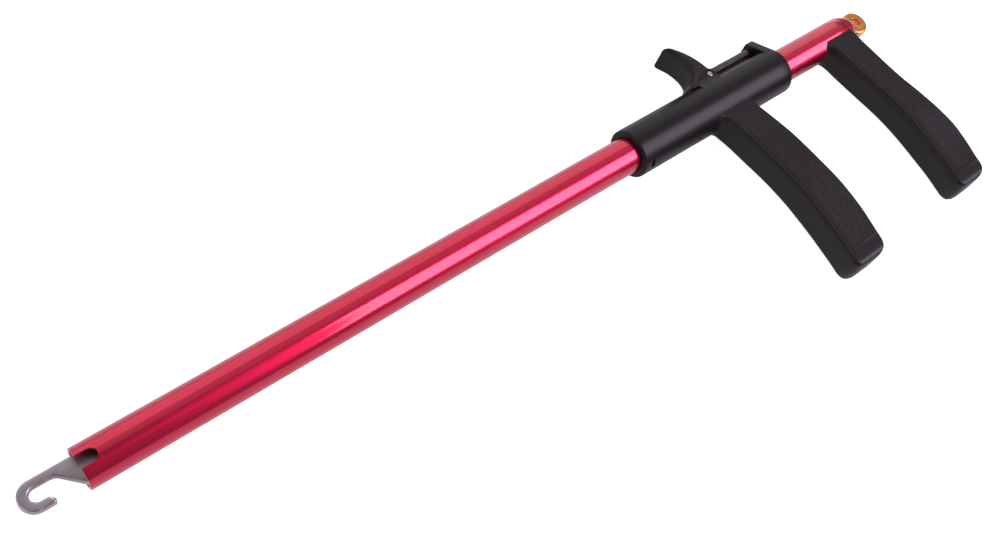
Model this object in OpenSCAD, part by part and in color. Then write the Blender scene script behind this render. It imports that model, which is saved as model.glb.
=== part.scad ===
// Squeeze-type hook remover. Drawing the sliding grip back pulls a blunt hook
// blade into the barrel's mouth; the fixed rear grip sits in the palm.
// The barrel's axis is X with its mouth at x = 0, the grips hang towards -Y,
// the thumb lever stands towards +Y, and Z is across the flat of the tool.

/* [Barrel] */
// Outside diameter of the barrel tube
barrel_d = 13; // [13:0.1:13.4]
// Wall of the barrel tube
barrel_wall = 1; // [0.8:0.1:1.1]
// Length of the barrel from its mouth to its rear end
barrel_len = 322; // [300:1:380]
// Width of the round-ended notches in the mouth
notch_w = 4.2; // [4.2:0.1:5]
// Depth of the notches from the mouth
notch_depth = 5.6; // [5.6:0.1:9]

/* [Hook blade] */
// Thickness of the blade
blade_t = 2.8; // [2:0.1:2.8]
// How far the hook stands out of the mouth at rest
hook_reach = 17.3; // [17:0.1:20]
// Height of the hook across its bend
hook_h = 9.3; // [9.3:0.05:9.4]
// Width of the shank and of the point
hook_leg = 2.5; // [2.3:0.05:2.5]
// Radius of the hook's throat
throat_r = 2.15; // [2.1:0.05:2.25]

/* [Slider] */
// Outside diameter of the sliding sleeve
sleeve_d = 17.8; // [17.6:0.1:18.2]
// Length of the sliding sleeve
sleeve_len = 78; // [78:0.5:80]
// Distance that the slider travels
travel = 18; // [10:1:18]
// Height of the rear ear's flat top above the barrel's axis
ear_h = 14.2; // [13.8:0.1:15]
// Thickness of the rear ear
ear_t = 3.5; // [3:0.1:5]

/* [Grips] */
// Thickness of both grips
grip_t = 12; // [11:0.1:12]
// Distance from the barrel's axis to the grips' tips
grip_drop = 79.5; // [74:0.5:84]
// Distance between the two grips
grip_pitch = 62.8; // [62:0.2:70]
// Widest part of each grip
grip_w = 16; // [15:0.5:18]

/* [Thumb lever] */
// Width of the thumb pad
lever_w = 12; // [10:0.5:12]
// Height of the lever's tip above the barrel's axis
lever_h = 27; // [25:0.2:28]
// Diameter of the lever's steel pin
lever_pin_d = 2; // [1.6:0.1:2.2]

/* [Springs and rod] */
// Diameter of the pull rod
rod_d = 4; // [3:0.1:4]
// Wire of the return spring
return_wire = 0.9; // [0.6:0.1:1]
// Wire of the lever spring
lever_wire = 0.5; // [0.4:0.05:0.6]

/* [Lanyard eye] */
// Outside diameter of the eye's ring
eye_d = 10.4; // [9.6:0.2:12]
// Diameter of the eye's hole
eye_hole_d = 4.2; // [3:0.1:4.6]

/* [Hidden] */

$fn = 96;
past = 1;                       // how far a cutting shape runs past a face

// clearances
run_gap = 0.08;                 // radial gap of a running fit
hinge_gap = 0.05;               // radial gap round a hinge pin
free_gap = 0.35;                // gap between parts that pass each other
seat_gap = 0.1;                 // how much wider a slot is than the part it holds
turned_gap = 0.03;              // radial gap of a fixed turned part in the bore

// barrel
barrel_r = barrel_d / 2;
bore_r = barrel_r - barrel_wall;

// pull rod and what it carries
rod_r = rod_d / 2;
holder_x = 28;
holder_len = 16;
nut_h = 3.2;
nut_flats = 7;
bush_len = 8;
front_bush_x = 96;
mid_bush_x = 156;
piston_r = bore_r - run_gap;

// hook blade: the point's end, the neck, and the tail held in the holder
blade_top = 4.3;
point_x = -8.6;
point_r = 1.8;
neck_x = -6;
shoulder_x = 24;
tail_end = holder_x + 13;
tail_half = 3.6;
rivet_r = 1;
rivet_half = 5.2;
rivet_pitch = 5;
neck_foot = [[-0.8, -3.9], [0.8, blade_top - hook_h]];
throat_shift = 0.6;             // the throat sits a little behind the bend
rod_grip = 2.5;                 // how far the rod goes into the holder

// slider: the sleeve, and the cross key that joins it to the rod
sleeve_r = sleeve_d / 2;
sleeve_x = barrel_len - 116.5;
sleeve_end = sleeve_x + sleeve_len;
sleeve_bore_r = barrel_r + run_gap;
rim = 0.8;
key_x = sleeve_x + 4;
key_t = 1.7;
key_w = 3.6;
key_turn = 71;
crosshead_len = 14;
crosshead_x = key_x - 6;
crosshead_end = crosshead_x + crosshead_len;
washer_t = 0.8;
washer_r = 5;
key_wall = 1.8;                 // solid brass on each side of the key's middle
key_len = sleeve_d - 1.6;

// spring stop, fixed in the barrel
stop_x = crosshead_end + 48;
stop_len = 8;
stop_pin_r = 0.8;
stop_pin_y = 3.6;
stop_pin_half = 4.5;
return_r = 4.2;
return_turns = 11;
guide_end = stop_x + stop_len + 10;

// grips: both have the same outline
front_waist = sleeve_x + 43.5;
rear_waist = front_waist + grip_pitch;
waist_y = -42;
belly_y = -53;
finger_r = 155;
back_r = 205;
heel_r = 62;
toe_corner = 3.2;
heel_corner = 4.5;
root_fillet = 2;
fillet_y = -12;
back_top_y = -7;
screw_r = 1.5;
screw_head_r = 2.7;
screw_len = 12;
screw_places = [front_waist + 0.6, front_waist + 8.6];
screw_seat = sleeve_bore_r + 0.25;
front_root_y = -5;              // both grips start inside the curve they sit on
rear_root_y = -2.9;

// rear grip's tongue, and the tail plug that locks it
tongue_x = rear_waist - 3.8;
tongue_len = 6.5;
tongue_t = 6;
tongue_sink = 1.5;              // how far the tongue reaches below the barrel
tongue_top = 4;
spigot_x = tongue_x + tongue_len + 0.8;
shank_r = 1.6;
shank_x = tongue_x - 2;
plug_pin_x = spigot_x + 3.4;
plug_pin_r = 1;
dome_inset = 1;                 // the dome's middle, ahead of the barrel's rear end
dome_len = 9;

// lanyard eye
eye_r = eye_d / 2;
eye_t = 3.6;
eye_x = barrel_len + 10.2;
eye_edge = 0.8;
stud_r = 1.5;
stud_x = spigot_x + 0.8;
stud_end = eye_x - eye_hole_d / 2 - 1;

// thumb lever, from the place of its pin
pin_x = sleeve_x + 48;
pin_y = 9.3;
pin_r = lever_pin_d / 2;
lug_t = 1.7;
lug_in = lever_w / 2 - lug_t;
lug_crown_r = 2.4;
lug_front = [pin_x - 8.2, 7.6];
lug_shoulder = [pin_x - 5.6, 10.2];
lug_brow = [pin_x - 0.8, pin_y + 2.26];
lug_foot_y = 4;
pocket_x = pin_x - 11.2;
pocket_end = pin_x + 3.2;
web_x = pin_x - 10.2;
web_t = 2 * (lug_in - 0.2);
web_top = lever_h - 8;
hub_r = 2.1;
pad_r = 15.7;
pad_c = [pin_x - 21, 17.6];
pad_low = 10;                   // the thumb's hollow starts above the toe
lever_back_c = [pin_x - 24.1, 8];
lever_back_r = 25;
toe_x = pin_x - 10.7;
toe_floor = barrel_r + 0.45;
heel_x = pin_x - 1;
heel_floor = 7.5;
shoe_x = pin_x - 5.8;
shoe_r = 1.8;
shoe_top = 9.4;

// channel on the sleeve's top, and the spring that lies in it
channel_y = 7.4;
channel_x = pin_x + 2.2;
ear_x = sleeve_end - ear_t;
ear_half = 2.5;
spring_y = 11.1;
lever_spring_turns = 24;
guide_pin_r = 0.6;
guide_pin_x = pin_x + 8.6;
guide_pin_end = ear_x + 2;
lever_spring_r = 1.5;
lever_spring_x = pin_x + 2.6;

// colours
anodised_red = [0.78, 0.06, 0.16];
anodised_gold = [0.85, 0.50, 0.18];
plastic_black = [0.13, 0.12, 0.13];
steel_grey = [0.62, 0.60, 0.62];
brass_yellow = [0.78, 0.62, 0.30];
nylon_white = [0.85, 0.84, 0.80];

// ---- shapes that repeat ----

// A rod along X from x0 to x1
module x_rod(r, x0, x1) {
    translate([x0, 0, 0]) rotate([0, 90, 0]) cylinder(r = r, h = x1 - x0);
}

// A ring along X from x0 to x1
module x_ring(r_out, r_in, x0, x1) {
    difference() {
        x_rod(r_out, x0, x1);
        x_rod(r_in, x0 - past, x1 + past);
    }
}

// Points along an arc round c
function arc(c, r, a0, a1, n) =
    [for (i = [0:n]) let (a = a0 + (a1 - a0) * i / n) [c[0] + r * cos(a), c[1] + r * sin(a)]];

// A helical spring along X, made of rings of points round the wire
module coil(x0, x1, r_mean, wire, turns, steps, sides) {
    count = turns * steps;
    function ring(i) =
        let (a = 360 * i / steps, x = x0 + wire / 2 + (x1 - x0 - wire) * i / count)
        [for (k = [0:sides - 1])
            let (b = 360 * k / sides, r = r_mean + wire / 2 * cos(b))
            [x + wire / 2 * sin(b), r * cos(a), r * sin(a)]];
    points = [for (i = [0:count]) each ring(i)];
    walls = [for (i = [0:count - 1], k = [0:sides - 1])
        let (a = i * sides + k, b = i * sides + (k + 1) % sides)
        [a, b, b + sides, a + sides]];
    ends = [
        [for (k = [0:sides - 1]) sides - 1 - k],
        [for (k = [0:sides - 1]) count * sides + k]
    ];
    polyhedron(points = points, faces = concat(walls, ends), convexity = 10);
}

// The grips' side outline: hollow along the fingers, bowed along the back
module grip_outline(waist, root_y) {
    finger_c = [waist - finger_r, waist_y];
    back_c = [waist + grip_w - back_r, belly_y];
    heel_c = [waist + grip_w - heel_r, belly_y];
    toe_y = toe_corner - grip_drop;
    toe_a = asin((waist_y - toe_y) / (finger_r + toe_corner));
    toe_c = [finger_c[0] + (finger_r + toe_corner) * cos(toe_a), toe_y];
    heel_y = heel_corner - grip_drop;
    heel_a = asin((belly_y - heel_y) / (heel_r - heel_corner));
    heel_cc = [heel_c[0] + (heel_r - heel_corner) * cos(heel_a), heel_y];
    root_a = asin((fillet_y - waist_y) / finger_r);
    root_c = [finger_c[0] + finger_r * cos(root_a) - root_fillet, fillet_y];
    back_a = asin((back_top_y - belly_y) / back_r);
    polygon(concat(
        [[root_c[0], root_y]],
        arc(root_c, root_fillet, 90, 0, 6),
        arc(finger_c, finger_r, root_a, -toe_a, 14),
        arc(toe_c, toe_corner, 180 - toe_a, 270, 6),
        arc(heel_cc, heel_corner, 270, 360 - heel_a, 6),
        arc(heel_c, heel_r, -heel_a, 0, 8),
        arc(back_c, back_r, 0, back_a, 10),
        [[back_c[0] + back_r * cos(back_a), root_y]]
    ));
}

// ---- barrel: what stays still ----

module notches() {
    straight = notch_depth - notch_w / 2;
    translate([straight / 2 - past / 2, 0, 0])
        cube([straight + past, notch_w, barrel_d + 2 * past], center = true);
    translate([straight, 0, 0])
        cylinder(d = notch_w, h = barrel_d + 2 * past, center = true);
}

module key_slots() {
    slot_len = key_t + travel + 6 * seat_gap;
    rotate([key_turn, 0, 0])
        translate([key_x + travel / 2, 0, 0])
            cube([slot_len, key_w + 4 * seat_gap, barrel_d + 2 * past], center = true);
}

module barrel_tube() {
    color(anodised_red)
        difference() {
            x_rod(barrel_r, 0, barrel_len);
            x_rod(bore_r, -past, barrel_len + past);
            notches();
            key_slots();
            stop_pin_pair(barrel_r + past);
            translate([tongue_x - seat_gap, -barrel_r - past, -tongue_t / 2 - seat_gap])
                cube([tongue_len + 2 * seat_gap, barrel_wall + 2 * past, tongue_t + 2 * seat_gap]);
            plug_pin_rod(0, barrel_r + past);
        }
}

// The tail plug's pin, from a depth of y0 to a depth of y1 below the axis
module plug_pin_rod(y0, y1) {
    translate([plug_pin_x, -y0, 0]) rotate([90, 0, 0])
        cylinder(r = plug_pin_r, h = y1 - y0, $fn = 32);
}

module rod_bush(x) {
    color(nylon_white) x_ring(bore_r, rod_r + run_gap, x, x + bush_len);
}

module front_bush() {
    rod_bush(front_bush_x);
}

module mid_bush() {
    rod_bush(mid_bush_x);
}

module stop_pin_pair(half) {
    for (side = [-1, 1])
        translate([stop_x + stop_len / 2, side * stop_pin_y, 0])
            cylinder(r = stop_pin_r, h = 2 * half, center = true, $fn = 32);
}

module spring_stop() {
    color(brass_yellow)
        difference() {
            x_ring(bore_r - turned_gap, rod_r + run_gap, stop_x, stop_x + stop_len);
            stop_pin_pair(barrel_r);
        }
}

module stop_pins() {
    color(steel_grey) stop_pin_pair(stop_pin_half);
}

module rear_grip() {
    color(plastic_black)
        difference() {
            union() {
                difference() {
                    linear_extrude(height = grip_t, center = true)
                        grip_outline(rear_waist, rear_root_y);
                    x_rod(barrel_r, 0, barrel_len + grip_w);
                }
                translate([tongue_x, -barrel_r - tongue_sink, -tongue_t / 2])
                    cube([tongue_len, barrel_r + tongue_sink + tongue_top, tongue_t]);
            }
            x_rod(shank_r, tongue_x - past, tongue_x + tongue_len + past);
        }
}

module tail_plug() {
    color(anodised_red)
        difference() {
            union() {
                x_rod(shank_r, shank_x, spigot_x);
                x_rod(bore_r - turned_gap, spigot_x, barrel_len);
                intersection() {
                    translate([barrel_len - dome_inset, 0, 0])
                        scale([dome_len / barrel_r, 1, 1]) sphere(r = barrel_r);
                    x_rod(barrel_d, barrel_len, barrel_len + barrel_d);
                }
            }
            translate([eye_x, 0, 0]) cylinder(r = eye_r, h = eye_t, center = true);
            x_rod(stud_r, stud_x, eye_x);
            plug_pin_rod(0, barrel_r);
        }
}

module plug_pin() {
    color(steel_grey)
        plug_pin_rod(stud_r + seat_gap, barrel_r - seat_gap);
}

module lanyard_eyelet() {
    half = eye_t / 2;
    hole_r = eye_hole_d / 2;
    color(anodised_gold) {
        translate([eye_x, 0, 0])
            rotate_extrude()
                polygon([
                    [hole_r, half - eye_edge / 2], [hole_r + eye_edge / 2, half],
                    [eye_r - eye_edge, half], [eye_r, half - eye_edge],
                    [eye_r, eye_edge - half], [eye_r - eye_edge, -half],
                    [hole_r + eye_edge / 2, -half], [hole_r, eye_edge / 2 - half]
                ]);
        x_rod(stud_r, stud_x + 2 * seat_gap, stud_end);
    }
}

module return_spring() {
    color(steel_grey)
        coil(crosshead_end + washer_t, stop_x, return_r, return_wire, return_turns, 16, 8);
}

// ---- slider: what the front grip carries ----

// Side outline of the lugs that hold the lever's pin, grown by gap
module lug_outline(gap) {
    back_x = pin_x + lug_crown_r + gap;
    translate([pin_x, pin_y]) circle(r = lug_crown_r + gap);
    polygon([
        [lug_front[0] - gap, lug_foot_y], lug_front + [-gap, gap], lug_shoulder + [-gap, gap],
        lug_brow + [0, gap], [back_x, pin_y], [back_x, lug_foot_y]
    ]);
}

module lug(side) {
    translate([0, 0, side * (lug_in + lug_t / 2)])
        linear_extrude(height = lug_t, center = true) lug_outline(0);
}

// The ear: a plate whose sides run straight from the sleeve to a narrow top
module ear() {
    flank = atan2(ear_half, ear_h) + acos(sleeve_r / norm([ear_h, ear_half]));
    touch = [sleeve_r * cos(flank), sleeve_r * sin(flank)];
    x_rod(sleeve_r, ear_x, sleeve_end);
    translate([ear_x, 0, 0]) rotate([90, 0, 90])
        linear_extrude(height = ear_t)
            polygon([
                [0, 0], [touch[0], touch[1]], [ear_h, ear_half],
                [ear_h, -ear_half], [touch[0], -touch[1]]
            ]);
}

module slider_sleeve() {
    color(plastic_black)
        difference() {
            union() {
                difference() {
                    union() {
                        translate([sleeve_x, 0, 0]) rotate([0, 90, 0])
                            cylinder(r1 = sleeve_r - rim, r2 = sleeve_r, h = rim);
                        x_rod(sleeve_r, sleeve_x + rim, sleeve_end);
                    }
                    translate([channel_x, channel_y, -sleeve_r])
                        cube([ear_x - channel_x, sleeve_r, 2 * sleeve_r]);
                }
                lug(1);
                lug(-1);
                ear();
            }
            x_rod(sleeve_bore_r, sleeve_x - past, sleeve_end + past);
            translate([pocket_x, 0, -lug_in])
                cube([pocket_end - pocket_x, lever_h, 2 * lug_in]);
            translate([pin_x, pin_y, 0]) cylinder(r = pin_r, h = 2 * lever_w, center = true);
            rotate([key_turn, 0, 0])
                translate([key_x, 0, 0]) cube([key_t + seat_gap, key_w + seat_gap, 2 * sleeve_d], center = true);
            translate([0, spring_y, 0]) x_rod(guide_pin_r, ear_x - past, guide_pin_end);
            grip_screw_pair();
        }
}

module front_grip() {
    color(plastic_black)
        difference() {
            linear_extrude(height = grip_t, center = true)
                grip_outline(front_waist, front_root_y);
            x_rod(sleeve_r, sleeve_x, sleeve_end);
            grip_screw_pair();
        }
}

// Two countersunk screws, driven from inside the sleeve into the grip's root
module grip_screw_pair() {
    for (x = screw_places)
        translate([x, 0, 0]) rotate([90, 0, 0]) {
            translate([0, 0, screw_seat])
                cylinder(r1 = screw_head_r, r2 = screw_r, h = screw_head_r - screw_r, $fn = 48);
            translate([0, 0, screw_seat]) cylinder(r = screw_r, h = screw_len, $fn = 48);
        }
}

module grip_screws() {
    color(steel_grey) grip_screw_pair();
}

module drive_key() {
    color(steel_grey)
        rotate([key_turn, 0, 0])
            translate([key_x, 0, 0]) cube([key_t, key_w, key_len], center = true);
}

module crosshead() {
    color(brass_yellow)
        difference() {
            x_rod(piston_r, crosshead_x, crosshead_end);
            x_rod(rod_r, crosshead_x - past, key_x - key_wall);
            x_rod(rod_r, key_x + key_wall, crosshead_end + past);
            rotate([key_turn, 0, 0])
                translate([key_x, 0, 0]) cube([key_t, key_w, barrel_d], center = true);
        }
}

module pull_rod() {
    color(steel_grey) x_rod(rod_r, holder_x + holder_len - rod_grip, key_x - key_wall);
}

module guide_rod() {
    color(steel_grey) x_rod(rod_r, key_x + key_wall, guide_end);
}

module rod_locknuts() {
    color(steel_grey)
        for (x = [holder_x + holder_len, crosshead_x - nut_h])
            difference() {
                translate([x, 0, 0]) rotate([0, 90, 0])
                    cylinder(d = nut_flats / cos(30), h = nut_h, $fn = 6);
                x_rod(rod_r, x - past, x + nut_h + past);
            }
}

// The blade's outline: a blunt hook, a tapered neck and a narrower tail
module blade_outline() {
    bend_r = hook_h / 2;
    bend_c = [bend_r - hook_reach, blade_top - bend_r];
    bottom = blade_top - hook_h;
    throat_top = blade_top - hook_leg;
    throat_c = [bend_c[0] + throat_shift, throat_top - throat_r];
    point_top = throat_top - 2 * throat_r;
    difference() {
        union() {
            translate(bend_c) circle(r = bend_r);
            translate([bend_c[0], bottom]) square([neck_x - bend_c[0], hook_h]);
            polygon([
                [neck_x - past, blade_top], [neck_x - past, throat_top], [neck_x, throat_top],
                neck_foot[0], neck_foot[1], [shoulder_x, bottom], [shoulder_x + 2, -tail_half],
                [tail_end, -tail_half], [tail_end, tail_half],
                [shoulder_x + 2, tail_half], [shoulder_x, blade_top]
            ]);
        }
        translate(throat_c) circle(r = throat_r);
        translate([throat_c[0], point_top]) square([neck_x - throat_c[0], 2 * throat_r]);
        translate([point_x, bottom - past]) square([neck_x - point_x, throat_top - bottom + past]);
        translate([point_x - point_r, point_top - point_r])
            difference() {
                square(point_r + past);
                circle(r = point_r, $fn = 64);
            }
    }
}

module blade_rivet_pair(r, half) {
    for (x = [holder_x + rivet_pitch, holder_x + 2 * rivet_pitch])
        translate([x, 0, 0]) cylinder(r = r, h = 2 * half, center = true, $fn = 48);
}

module hook_blade() {
    color(steel_grey)
        difference() {
            linear_extrude(height = blade_t, center = true) blade_outline();
            blade_rivet_pair(rivet_r, bore_r);
        }
}

module blade_holder() {
    color(brass_yellow)
        difference() {
            x_rod(piston_r, holder_x, holder_x + holder_len);
            translate([holder_x - past, -tail_half - seat_gap / 2, -blade_t / 2])
                cube([tail_end - holder_x + seat_gap / 2 + past, 2 * tail_half + seat_gap, blade_t]);
            blade_rivet_pair(rivet_r, bore_r);
            x_rod(rod_r, holder_x + holder_len - rod_grip, holder_x + holder_len + past);
        }
}

module blade_rivets() {
    color(steel_grey) blade_rivet_pair(rivet_r, rivet_half);
}

module spring_washer() {
    color(steel_grey)
        x_ring(washer_r, rod_r + hinge_gap, crosshead_end, crosshead_end + washer_t);
}

module lever_pin() {
    color(steel_grey)
        translate([pin_x, pin_y, 0]) cylinder(r = pin_r, h = lever_w + 0.2, center = true);
}

module spring_guide_pin() {
    color(steel_grey)
        translate([0, spring_y, 0]) x_rod(guide_pin_r, guide_pin_x, guide_pin_end);
}

module lever_spring() {
    color(steel_grey)
        translate([0, spring_y, 0])
            coil(lever_spring_x, ear_x, lever_spring_r - lever_wire / 2, lever_wire, lever_spring_turns, 12, 6);
}

// ---- thumb lever ----

// Side outline: hollow in front for the thumb, bowed behind, a toe below
module lever_outline() {
    difference() {
        union() {
            intersection() {
                translate(lever_back_c) circle(r = lever_back_r);
                translate([toe_x, 0]) square([lever_back_r, lever_h]);
            }
            translate([pin_x, pin_y]) circle(r = hub_r);
        }
        intersection() {
            translate(pad_c) circle(r = pad_r);
            translate([toe_x - past, pad_low]) square([lever_back_r, lever_h]);
        }
    }
}

module thumb_lever() {
    color(plastic_black)
        difference() {
            union() {
                linear_extrude(height = lever_w, center = true)
                    difference() {
                        lever_outline();
                        lug_outline(free_gap);
                    }
                linear_extrude(height = web_t, center = true)
                    intersection() {
                        lever_outline();
                        translate([web_x, 0]) square([lever_back_r, web_top]);
                    }
            }
            difference() {
                x_rod(sleeve_r + free_gap, toe_x - past, sleeve_end);
                translate([web_x, 0, -web_t / 2]) cube([lever_back_r, sleeve_d, web_t]);
            }
            translate([toe_x - past, 0, -lever_w]) cube([lever_back_r, toe_floor, 2 * lever_w]);
            translate([pin_x, pin_y, 0])
                cylinder(r = pin_r + hinge_gap, h = 2 * lever_w, center = true);
            translate([heel_x, 0, -lever_w]) cube([lever_w, heel_floor, 2 * lever_w]);
            translate([shoe_x, shoe_top, 0]) rotate([90, 0, 0]) cylinder(r = shoe_r, h = shoe_top - barrel_r + past, $fn = 48);
        }
}

module brake_shoe() {
    color(brass_yellow)
        translate([shoe_x, shoe_top, 0]) rotate([90, 0, 0])
            cylinder(r = shoe_r, h = shoe_top - barrel_r - free_gap, $fn = 48);
}

barrel_tube();
front_bush();
mid_bush();
spring_stop();
stop_pins();
rear_grip();
tail_plug();
plug_pin();
lanyard_eyelet();
return_spring();
slider_sleeve();
front_grip();
grip_screws();
drive_key();
crosshead();
pull_rod();
guide_rod();
rod_locknuts();
blade_holder();
hook_blade();
blade_rivets();
spring_washer();
lever_pin();
spring_guide_pin();
lever_spring();
thumb_lever();
brake_shoe();
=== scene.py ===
# %% [markdown]
# # A squeeze-type hook remover
#
# The tool is a thin red tube with a blunt steel hook in its mouth. A black plastic slider
# with a curved grip and a thumb lever runs on the tube, and a second grip is fixed at its rear.
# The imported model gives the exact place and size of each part. This script builds the shapes
# that are seen, with their rounded edges, knurling and moulded steps, and gives every part a finish.

from math import acos, atan2, cos, degrees, pi, radians, sin, sqrt

import bmesh
import bpy
from mathutils import Matrix, Vector


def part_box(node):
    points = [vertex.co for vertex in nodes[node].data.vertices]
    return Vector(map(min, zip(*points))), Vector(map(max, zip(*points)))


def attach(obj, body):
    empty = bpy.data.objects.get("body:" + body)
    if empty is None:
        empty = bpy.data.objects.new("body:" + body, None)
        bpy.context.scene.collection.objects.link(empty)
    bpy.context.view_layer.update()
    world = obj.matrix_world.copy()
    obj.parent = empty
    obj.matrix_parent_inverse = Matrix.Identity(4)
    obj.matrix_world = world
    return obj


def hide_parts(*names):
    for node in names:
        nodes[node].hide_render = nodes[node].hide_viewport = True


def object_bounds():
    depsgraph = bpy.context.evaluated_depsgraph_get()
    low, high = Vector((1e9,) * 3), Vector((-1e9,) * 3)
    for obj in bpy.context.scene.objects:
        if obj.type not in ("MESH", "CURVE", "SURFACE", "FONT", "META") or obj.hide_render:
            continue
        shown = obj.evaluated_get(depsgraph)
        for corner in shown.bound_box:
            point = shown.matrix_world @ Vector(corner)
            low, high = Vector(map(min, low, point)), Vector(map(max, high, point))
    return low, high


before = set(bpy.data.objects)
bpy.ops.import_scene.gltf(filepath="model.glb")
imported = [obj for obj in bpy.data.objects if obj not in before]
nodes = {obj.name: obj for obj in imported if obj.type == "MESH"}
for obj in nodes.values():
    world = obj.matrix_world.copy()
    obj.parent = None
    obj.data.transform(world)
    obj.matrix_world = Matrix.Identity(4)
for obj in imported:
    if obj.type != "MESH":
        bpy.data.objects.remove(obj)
cad_box = [list(corner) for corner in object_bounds()]
scene = bpy.context.scene
print("CAD nodes:", len(nodes))

# %% [markdown]
# ## Sizes
#
# The meshes are shaped in millimetres, which suits a tool of this size, and brought to metres
# as each one is finished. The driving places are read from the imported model's own boxes. The
# smaller ones are set out from those, or from the middle of the tube's mouth, which is the origin.

# %% Sizes from the frame
MM = 0.001


def box_mm(node):
    low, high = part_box(node)
    return low / MM, high / MM


tube_high = box_mm("barrel_tube")[1]
tube_r = tube_high.z
tube_end = tube_high.x
bore_r = box_mm("front_bush")[1].y
sleeve_low, sleeve_high = box_mm("slider_sleeve")
sleeve_r = sleeve_high.z
pin_low, pin_high = box_mm("lever_pin")
pin_r = (pin_high.x - pin_low.x) / 2
pin_x = (pin_high.x + pin_low.x) / 2
pin_y = (pin_high.y + pin_low.y) / 2
print("tube", round(tube_r, 2), "x", round(tube_end, 1), "mm; sleeve from", round(sleeve_low.x, 1))
print("lever pin at", round(pin_x, 2), round(pin_y, 2))

# %% [markdown]
# ## Helpers for shaping
#
# A few small tools are enough for nearly every piece. Turned parts come from a profile that is
# spun round an axis, flat parts from an outline that is extruded, and slots and pockets from a
# boolean cut. Softening the sharp edges with a narrow bevel is what makes a part catch the light
# like a moulded or machined one.

# %% Helpers: solids
def rod(radius, start, end, segments=64):
    """A closed cylinder between two points."""
    bm = bmesh.new()
    axis = Vector(end) - Vector(start)
    turn = Vector((0, 0, 1)).rotation_difference(axis).to_matrix().to_4x4()
    place = Matrix.Translation((Vector(start) + Vector(end)) / 2) @ turn
    bmesh.ops.create_cone(
        bm, cap_ends=True, segments=segments, radius1=radius, radius2=radius,
        depth=axis.length, matrix=place,
    )
    return bm


def block(low, high):
    """A closed box between two corners."""
    bm = bmesh.new()
    low, high = Vector(low), Vector(high)
    size = Matrix.Diagonal((*(high - low), 1))
    bmesh.ops.create_cube(bm, size=1, matrix=Matrix.Translation((low + high) / 2) @ size)
    return bm


def plate(outline, low, high, across="Z"):
    """An outline extruded into a plate. Across Z it lies in XY, across X it lies in YZ."""
    bm = bmesh.new()
    if across == "Z":
        verts = [bm.verts.new((a, b, low)) for a, b in outline]
        step = Vector((0, 0, high - low))
    else:
        verts = [bm.verts.new((low, a, b)) for a, b in outline]
        step = Vector((high - low, 0, 0))
    face = bm.faces.new(verts)
    grown = bmesh.ops.extrude_face_region(bm, geom=[face], use_keep_orig=True)
    moved = [v for v in grown["geom"] if isinstance(v, bmesh.types.BMVert)]
    bmesh.ops.translate(bm, vec=step, verts=moved)
    bmesh.ops.recalc_face_normals(bm, faces=bm.faces)
    return bm


def turned(profile, axis_point=(0, 0, 0), axis=(1, 0, 0), steps=96, closed=True):
    """A profile of points in 3D, spun a full turn round an axis."""
    bm = bmesh.new()
    verts = [bm.verts.new(p) for p in profile]
    pairs = list(zip(verts, verts[1:]))
    if closed:
        pairs.append((verts[-1], verts[0]))
    edges = [bm.edges.new(pair) for pair in pairs]
    bmesh.ops.spin(
        bm, geom=verts + edges, cent=axis_point, axis=axis, dvec=(0, 0, 0),
        angle=2 * pi, steps=steps, use_merge=True, use_duplicate=False,
    )
    bmesh.ops.remove_doubles(bm, verts=bm.verts, dist=1e-4)
    bmesh.ops.recalc_face_normals(bm, faces=bm.faces)
    return bm


def arc(centre, radius, start, end, count):
    """Points along an arc, with angles in degrees."""
    turns = [radians(start + (end - start) * i / count) for i in range(count + 1)]
    return [(centre[0] + radius * cos(t), centre[1] + radius * sin(t)) for t in turns]


# %% Helpers: joining, cutting and softening
def temporary(bm):
    mesh = bpy.data.meshes.new("temporary")
    bm.to_mesh(mesh)
    bm.free()
    thing = bpy.data.objects.new("temporary", mesh)
    scene.collection.objects.link(thing)
    return thing


def combine(bm, tool, operation="DIFFERENCE"):
    """Cuts tool from bm, joins it or keeps what they share. Both are used up."""
    base, other = temporary(bm), temporary(tool)
    step = base.modifiers.new("combine", "BOOLEAN")
    step.operation = operation
    step.object = other
    step.solver = "EXACT"
    result = bmesh.new()
    result.from_object(base, bpy.context.evaluated_depsgraph_get())
    for thing in (base, other):
        mesh = thing.data
        bpy.data.objects.remove(thing)
        bpy.data.meshes.remove(mesh)
    bmesh.ops.remove_doubles(result, verts=result.verts, dist=1e-4)
    return result


def soften(bm, width, segments=3, sharper_than=40, where=lambda edge: True):
    """Bevels the edges that are sharper than an angle and lie where we want them."""
    edges = [
        e for e in bm.edges
        if len(e.link_faces) == 2
        and degrees(e.calc_face_angle(0)) > sharper_than
        and where(e)
    ]
    bmesh.ops.bevel(
        bm, geom=edges, offset=width, offset_type="OFFSET", affect="EDGES",
        segments=segments, profile=0.5, material=-1, clamp_overlap=True,
    )
    return bm


def slices(bm, places, axis=(1, 0, 0)):
    """Adds edge rings across a solid, so that a later cut stays local."""
    for place in places:
        geom = list(bm.verts) + list(bm.edges) + list(bm.faces)
        bmesh.ops.bisect_plane(
            bm, geom=geom, dist=1e-5, plane_co=Vector(axis) * place, plane_no=axis
        )
    return bm


def joined(first, *others):
    """Puts several solids into one mesh without cutting them."""
    for other in others:
        mesh = bpy.data.meshes.new("part")
        other.to_mesh(mesh)
        other.free()
        first.from_mesh(mesh)
        bpy.data.meshes.remove(mesh)
    return first


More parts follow.
